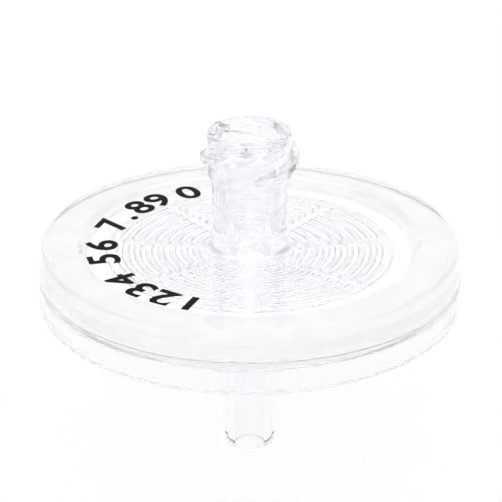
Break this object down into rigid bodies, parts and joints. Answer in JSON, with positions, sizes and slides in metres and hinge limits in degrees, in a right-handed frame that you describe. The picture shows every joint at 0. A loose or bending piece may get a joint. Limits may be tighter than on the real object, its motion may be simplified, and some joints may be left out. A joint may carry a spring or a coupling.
{
  "type": "syringe filter",
  "caption": "Clear disc syringe filter: luer-lock inlet hub on a short stem, round welded housing with ribbed chamber over a white membrane, tapered slip outlet.",
  "frame": {"origin": "centre of the inlet's mouth, in the plane of its end face", "axes": "+Z along the flow axis, out of the inlet towards the syringe; +X to the right and -Y towards the viewer, with one radial channel of the ribs along -Y"},
  "size_m": [0.033, 0.033, 0.0269],
  "materials": {
    "clear_plastic": "clear moulded acrylic, polished",
    "membrane_white": "matt white porous film",
    "black_ink": "pad-printed black ink"
  },
  "bodies": {
    "root": {"inlet_housing": "clear_plastic", "membrane": "membrane_white", "outlet_housing": "clear_plastic"}
  },
  "joints": []
}
